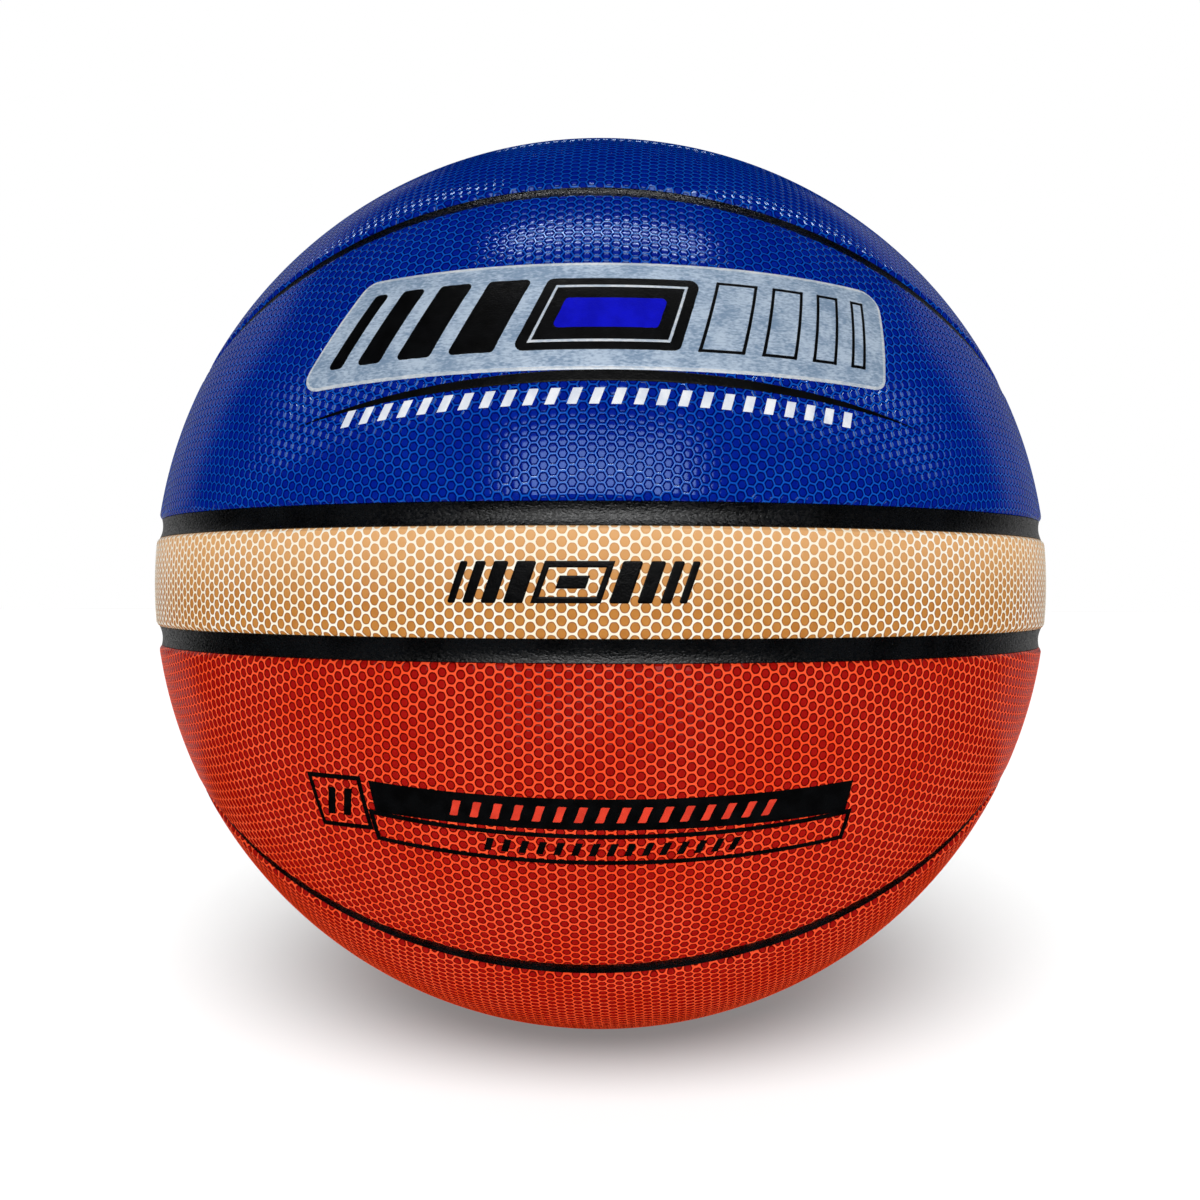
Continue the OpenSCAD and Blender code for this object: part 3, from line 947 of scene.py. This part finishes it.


# Each cover's ring colour is painted shade in the moats round its dots
cover_material(
    "blue_cover", net=("084AB2", "0C54BE"), dot=("012498", "001688"), ring="000A66", tint="A4CCF4",
    shade_ring_ramp=(0.285, 0.32), net_ramp=(0.4, 0.46), gloss=0.045, specular=0.95, roundness=0.3,
)
# The cream cover's highlight colour is a painted highlight on the dots towards the top of the belt
cover_material(
    "cream_cover", net=("FFFAEA", "FFF2D8"), dot=("CA8A42", "B87634"), ring="A06226", painted_highlight="EEB87E",
    shade_ring_ramp=(0.3, 0.37), net_ramp=(0.39, 0.424), gloss=0.12, specular=0.22, roundness=0.75,
)
cover_material(
    "red_cover", net=("FF562E", "F84A20"), dot=("A80E05", "980602"), ring="600200",
    shade_ring_ramp=(0.26, 0.34), net_ramp=(0.39, 0.424), gloss=0.12, specular=0.22, roundness=0.7,
)
rubber_material(
    "channel_rubber", "060709", "0D0F12", rough=0.1, grain_scale=1300, depth=0.00012, specular=1.0
)
rubber_material("valve_rubber", "0A0A0B", "151516", rough=0.42, grain_scale=900, depth=0.00005)
rubber_material("carcass_rubber", "16181B", "202327", rough=0.6, grain_scale=500, depth=0.0001)
rubber_material("bladder_rubber", "111113", "1B1B1E", rough=0.5, grain_scale=300, depth=0.0001)
rubber_material("pad_foam", "2A2C30", "3A3D42", rough=0.85, grain_scale=1300, depth=0.0003)
thread_material("winding_thread", "6E6454", "D8CFBA")
foil_material("foil", "8CA6C4", "CCDEF2")
# Bright foil for the rails, and for the plate's rim, where it is a painted highlight along the plate's edge
foil_material("bright_foil_and_rim_highlight", "C4D2E2", "EEF3F8")
ink_material("black_ink", "050506", "0A0B0D", rough=0.22)
ink_material("white_ink", "F2F4F8", "D6DCE8", rough=0.4)
ink_material("blue_ink", "0204B0", "060AC4", rough=0.4, specular=0.06)
ink_material("red_ink", "E83A1C", "D02C12", rough=0.35)

# Prints: how far their shapes lean, how wide a thin line is, and how far each layer lies over the last
LEAN = 0.35
LINE_W = 1.1
FILM_STACK = 0.04

# The long plate on the upper band
PLATE_LINE = dict(longitude=3, latitude=27.5, end_latitude=26.3, half_length=66)
PLATE_HALF_W = 64
PLATE_HALF_H = 14
PLATE_CORNER_R = 4
PLATE_HIGHLIGHT_RIM_W = 0.6
SCREEN_HALF_W = 17
SCREEN_CORNER_R = 2
BAR_HALF_H = 9.5
BAR_GAP = 3.4
BAR_WIDTHS = (10, 8, 6, 4)
BAR_CORNER_R = 1.2
OPEN_BAR_LINE_W = 1
RAIL_HALF_W = 14.5
RAIL_HALF_H = 7.5
RAIL_W = 0.8
ARC_HALF_W = 71

# The belt's mark
MARK_HALF_W = 7
MARK_HALF_H = 4.2
MARK_LINE_W = 1.3
MARK_GAP = 1.6
MARK_WIDTHS = (4, 3, 2.2, 1.6)
MARK_CORNER_R = 0.4

# The lower band's bar, frame and box
LOWER_LINE = dict(longitude=3.3, latitude=-23.1, end_latitude=-21.9, half_length=53)
LOWER_HALF_W = 52.3
LOWER_BAR_HALF_H = 3.7
FRAME_HALF_H = 3.9
BOX_HALF_W = 7.2
BOX_HALF_H = 6.6


def tile(half_w, half_h, lean=LEAN):
    """A parallelogram round the middle of its line."""
    return slanted(-half_w, half_w, -half_h, half_h, lean)


def outline(left, right, half_h, line_w=LINE_W, lean=0.0):
    """Four thin bars round a parallelogram."""
    return [
        slanted(left, right, -half_h, line_w - half_h, lean),
        slanted(left, right, half_h - line_w, half_h, lean),
        slanted(left, left + line_w, -half_h, half_h, lean),
        slanted(right - line_w, right, -half_h, half_h, lean),
    ]


def ticks(reach, step, width, half_h):
    """A row of small slanted marks, out to a reach on both sides."""
    spots = np.arange(-reach, reach + step / 2, step)
    return [slanted(spot - width / 2, spot + width / 2, -half_h, half_h, LEAN) for spot in spots]


def graded(edge, gap, widths):
    """Where each bar of a row that goes outwards begins and ends."""
    for width in widths:
        edge += gap
        yield edge, edge + width
        edge += width


def on(line, polygons):
    return [(line, polygon) for polygon in polygons]


# The plate has solid bars at its left and open bars at its right
# The plate's rim is a strip of bright foil round the plate: a painted highlight along its edge
plate_highlight_rim = on(Line(**PLATE_LINE), [rounded(tile(PLATE_HALF_W, PLATE_HALF_H), PLATE_CORNER_R)])
inner_tile = tile(PLATE_HALF_W - PLATE_HIGHLIGHT_RIM_W, PLATE_HALF_H - PLATE_HIGHLIGHT_RIM_W)
plate = on(Line(**PLATE_LINE, lift=FILM_STACK), [rounded(inner_tile, PLATE_CORNER_R - PLATE_HIGHLIGHT_RIM_W)])
bars = [rounded(tile(SCREEN_HALF_W, BAR_HALF_H), SCREEN_CORNER_R)]
for start, end in graded(SCREEN_HALF_W, BAR_GAP, BAR_WIDTHS):
    bars.append(rounded(slanted(-end, -start, -BAR_HALF_H, BAR_HALF_H, LEAN), BAR_CORNER_R))
    bars += outline(start, end, BAR_HALF_H, OPEN_BAR_LINE_W, LEAN)
bars = on(Line(**PLATE_LINE, lift=2 * FILM_STACK), bars)
top_line = Line(**PLATE_LINE, lift=3 * FILM_STACK)
core = on(top_line, [rounded(tile(half_w=11, half_h=4), BAR_CORNER_R)])
rails = on(top_line, outline(-RAIL_HALF_W, RAIL_HALF_W, RAIL_HALF_H, RAIL_W, LEAN))
arc_line = Line(longitude=3, latitude=20.3, end_latitude=15.8, half_length=ARC_HALF_W)
arc = on(arc_line, [lens(ARC_HALF_W, half_width=1.3)])
tick_line = Line(longitude=1.5, latitude=18.1, end_latitude=16.2, half_length=57)
upper_ticks = on(tick_line, ticks(reach=54, step=4.5, width=2, half_h=1.8))

# The belt's mark is an open centre between graded bars
belt_bars = outline(-MARK_HALF_W, MARK_HALF_W, MARK_HALF_H, MARK_LINE_W, LEAN)
belt_bars.append(tile(half_w=3, half_h=1.3))
for start, end in graded(MARK_HALF_W, MARK_GAP, MARK_WIDTHS):
    for left, right in ((start, end), (-end, -start)):
        belt_bars.append(rounded(slanted(left, right, -MARK_HALF_H, MARK_HALF_H, LEAN), MARK_CORNER_R))
belt_bars = on(Line(longitude=-0.7, latitude=0, end_latitude=0, half_length=30), belt_bars)

# The lower band has a solid bar over an open frame, and a box at their left
bar = on(Line(**LOWER_LINE), [tile(LOWER_HALF_W, LOWER_BAR_HALF_H, lean=0)])
bar_ticks = on(Line(**LOWER_LINE, lift=FILM_STACK), ticks(reach=33, step=4.4, width=2, half_h=2))
lower_frame = outline(-LOWER_HALF_W, LOWER_HALF_W, FRAME_HALF_H)
lower_frame += ticks(reach=25.9, step=3.7, width=1.5, half_h=1.6)
lower_frame = on(Line(longitude=3.3, latitude=-27.2, end_latitude=-25.3, half_length=53), lower_frame)
box = outline(-BOX_HALF_W, BOX_HALF_W, BOX_HALF_H) + ticks(reach=2.2, step=4.4, width=2, half_h=3.4)
box = on(Line(longitude=-28.2, latitude=-22.9, end_latitude=-22.9, half_length=10), box)

# Covers
blue_chart, red_chart, top_chart = cone_chart(BLUE_SPREAD), cone_chart(RED_SPREAD), cap_chart(CAP_MIDDLE)
cap_edges, blue_edges = top_edges(UPPER_LOOP_LATITUDE), band_edges(UPPER_LOOP_LATITUDE)
bottom_edges, red_edges = top_edges(LOWER_LOOP_LATITUDE), band_edges(LOWER_LOOP_LATITUDE)
for side, turn in (("front", FRONT_TOP), ("back", BACK)):
    front = side == "front"
    under = turn @ UNDER
    cover(
        f"top_{side}_shell", "blue_cover", BLUE_DEPTH, top_chart, cap_edges, CAP_REACH,
        offset=(0.4, 0.3), turn=turn,
    )
    cover(
        f"upper_{side}_shell", "blue_cover", BLUE_DEPTH, blue_chart, blue_edges, BAND_REACH,
        offset=(0.2, 0.9), turn=turn, prints=plate_highlight_rim + arc + upper_ticks if front else (),
    )
    cover(
        f"belt_{side}_shell", "cream_cover", CREAM_DEPTH, belt_chart, belt_edges, BELT_REACH,
        offset=(0.5, 0.2), turn=turn, prints=belt_bars if front else (), valve=not front,
    )
    cover(
        f"lower_{side}_shell", "red_cover", RED_DEPTH, red_chart, red_edges, BAND_REACH,
        offset=(0.3, 0.6), turn=under, prints=bar + lower_frame + box if front else (),
    )
    cover(
        f"bottom_{side}_shell", "red_cover", RED_DEPTH, top_chart, bottom_edges, CAP_REACH,
        offset=(0.7, 0.1), turn=under,
    )

# Films
# Bright foil round the plate: a painted highlight on its edge
film("upper_plate_rim", "bright_foil_and_rim_highlight", plate_highlight_rim)
film("upper_plate", "foil", plate)
film("upper_bars", "black_ink", bars)
film("upper_core", "blue_ink", core)
film("upper_rails", "bright_foil_and_rim_highlight", rails)
film("upper_arc", "black_ink", arc)
film("upper_ticks", "white_ink", upper_ticks)
film("belt_bars", "black_ink", belt_bars)
film("lower_bar", "black_ink", bar + lower_frame + box)
film("lower_ticks", "red_ink", bar_ticks)

# Strips
strip("belt_strip_upper", [belt_seam(1)], BELT_CHANNEL_W)
strip("belt_strip_lower", [belt_seam(-1)], BELT_CHANNEL_W)
strip("loop_strip_upper", [loop_seam(1, UPPER_LOOP_LATITUDE)], LOOP_CHANNEL_W)
strip("loop_strip_lower", [loop_seam(-1, LOWER_LOOP_LATITUDE)], LOOP_CHANNEL_W)

# The meridian strip runs in stretches between the belt's and the loops' strips
belt_angle = math.degrees(BELT_LATITUDE)
belt_half = math.degrees(math.asin(BELT_CHANNEL_W / 2 / STRIP_FOOT_R))
loop_half = math.degrees(math.asin(LOOP_CHANNEL_W / 2 / STRIP_FOOT_R))
runs = []
for start in (0, 180):
    runs.append((start - belt_angle + belt_half, start + belt_angle - belt_half))
    for side in (1, -1):
        near = start + side * (belt_angle + belt_half)
        far = start + side * (LOOP_SIDE_LATITUDE - loop_half)
        runs.append((min(near, far), max(near, far)))
for start in (90, 270):
    reach = 90 - LOOP_SIDE_LATITUDE - loop_half
    runs.append((start - reach, start + reach))
strip("meridian_strip", [meridian_stretch(*run) for run in runs], MERIDIAN_CHANNEL_W)

# CAD nodes that stay
for node, piece in frame["nodes"].items():
    slot = next(part["material_slot"] for part in frame["record"]["subparts"] if part["node"] == node)
    piece.data.materials.clear()
    piece.data.materials.append(materials[slot])


# Floor and light, in metres and degrees
FLOOR_HALF = 6.0
FLOOR_GLOW = 0.2
FLOOR_TINTS = (0.25, 0.26)
FLOOR_CLOUD_SCALE = 3
FILL = 0.62
WHITE = (1, 1, 1, 1)


def floor_material(name):
    tree, shader = new_material(name)
    cloud = smooth(tree, noise(tree, FLOOR_CLOUD_SCALE), *WIDE_RAMP)
    wire(tree, shader, {
        "Base Color": mix(tree, cloud, *((tint, tint, tint, 1) for tint in FLOOR_TINTS)),
        "Roughness": 0.9,
        "Specular IOR Level": 0,
        "Emission Color": WHITE,
        "Emission Strength": FLOOR_GLOW,
    })


floor_material("floor")
floor_mesh = bpy.data.meshes.new("floor")
corners = [(x * FLOOR_HALF, y * FLOOR_HALF, cad_box[0][2]) for x, y in ((-1, -1), (1, -1), (1, 1), (-1, 1))]
floor_mesh.from_pydata(corners, [], [(0, 1, 2, 3)])
floor_mesh.materials.append(materials["floor"])
floor = bpy.data.objects.new("floor", floor_mesh)
scene.collection.objects.link(floor)
floor.visible_glossy = False
floor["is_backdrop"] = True


def place_light(data, name, azimuth, elevation, distance):
    """A light that faces the ball from a direction."""
    light = bpy.data.objects.new(name, data)
    spot = Vector(direction(math.radians(azimuth), math.radians(elevation)).tolist())
    light.location = spot * distance
    light.rotation_euler = spot.to_track_quat("Z", "Y").to_euler()
    scene.collection.objects.link(light)
    return light


def softbox(name, azimuth, elevation, distance, width, height, radiance):
    """A rectangular light. Its power follows from its radiance and area."""
    data = bpy.data.lights.new(name, "AREA")
    data.shape = "RECTANGLE"
    data.size, data.size_y = width, height
    data.energy = radiance * math.pi * width * height
    return place_light(data, name, azimuth, elevation, distance)


softbox("top_light", azimuth=0, elevation=88, distance=1.3, width=0.8, height=0.03, radiance=19.0)
softbox("front_light", azimuth=2, elevation=24, distance=1.6, width=1.15, height=0.56, radiance=2.9)
for side in (-1, 1):
    edge_light = softbox(
        f"edge_light_{side + 1}", azimuth=side * 140, elevation=10, distance=1.6,
        width=1.2, height=1.6, radiance=0.26,
    )
    edge_light.visible_diffuse = False

# The floor has a lamp of its own, which keeps its paper white and the shadow under the ball soft
floor_lamp = bpy.data.lights.new("floor_lamp", "SUN")
floor_lamp.angle = math.radians(40)
floor_lamp.energy = 12.5
floor_light = place_light(floor_lamp, "floor_lamp", azimuth=0, elevation=43, distance=3.0)
floor_group = bpy.data.collections.new("floor_group")
floor_group.objects.link(floor)
floor_light.light_linking.receiver_collection = floor_group

# Plain white behind the ball for the camera, and a dimmer fill for everything that the world lights
world = bpy.data.worlds.new("studio")
scene.world = world
world.use_nodes = True
sky = world.node_tree
ray = add_node(sky, "ShaderNodeLightPath").outputs["Is Camera Ray"]
wire(sky, sky.nodes["Background"], {"Color": WHITE, "Strength": maths(sky, "MAXIMUM", ray, FILL)})
world.cycles_visibility.glossy = False

# The camera stands close, a little to the right of the ball's front
IMAGE_SIZE = 1200
BALL_CENTRE_PX = (600.5, 583.5)
BALL_RADIUS_PX = 446
CAMERA_DISTANCE = 3.2 * BALL_R
CAMERA_YAW = 1.9
CAMERA_PITCH = -0.12
CAMERA_ROLL = 0.15
SENSOR_W = 36
tangent = math.sqrt((CAMERA_DISTANCE / BALL_R) ** 2 - 1)
camera_data = bpy.data.cameras.new("camera")
camera_data.sensor_width = SENSOR_W
camera_data.lens = BALL_RADIUS_PX * tangent / IMAGE_SIZE * SENSOR_W
camera_data.shift_x = (IMAGE_SIZE / 2 - BALL_CENTRE_PX[0]) / IMAGE_SIZE
camera_data.shift_y = (BALL_CENTRE_PX[1] - IMAGE_SIZE / 2) / IMAGE_SIZE
camera_data.clip_start = 0.01
camera = bpy.data.objects.new("camera", camera_data)
scene.collection.objects.link(camera)
stand = direction(math.radians(CAMERA_YAW), math.radians(CAMERA_PITCH))
camera.location = Vector((stand * CAMERA_DISTANCE * MM).tolist())
facing = Vector(stand.tolist()).to_track_quat("Z", "Y").to_matrix()
roll = Matrix.Rotation(math.radians(CAMERA_ROLL), 3, "Z")
camera.rotation_euler = (facing @ roll).to_euler()
scene.camera = camera

scene.view_settings.view_transform = "Standard"
scene.view_settings.look = "None"

visual_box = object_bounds()
[[list(map(float, corner)) for corner in found] for found in (cad_box, visual_box)]
